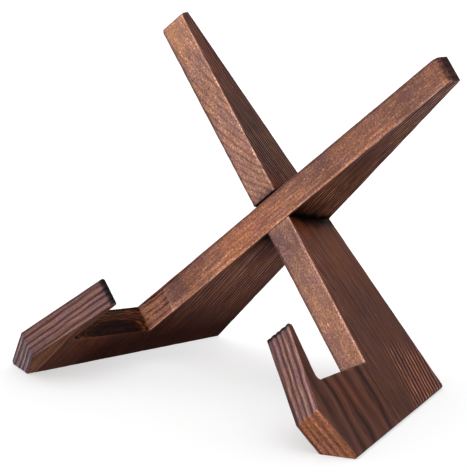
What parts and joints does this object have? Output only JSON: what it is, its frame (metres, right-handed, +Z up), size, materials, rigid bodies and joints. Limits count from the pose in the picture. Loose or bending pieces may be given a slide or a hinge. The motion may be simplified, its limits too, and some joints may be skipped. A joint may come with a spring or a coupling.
{
  "type": "book display stand",
  "caption": "Crossed wooden stand that leans an open book or plate back on hooked ledges; its boards slot together and slide apart.",
  "frame": {"origin": "on the table, under the middle of the stand's footprint", "axes": "+X to the reader's right, +Y away from the reader, +Z up"},
  "size_m": [0.2946, 0.1662, 0.2279],
  "materials": {
    "stained_wood": "walnut-stained, brushed and waxed softwood"
  },
  "bodies": {
    "right_leg": {"right_leg": "stained_wood"},
    "left_leg": {"left_leg": "stained_wood"}
  },
  "joints": [
    {"name": "halving_slide", "type": "slide", "parent": "right_leg", "child": "left_leg", "axis": [0, -0.9613, 0.2756], "range_m": [0, 0.03]}
  ]
}
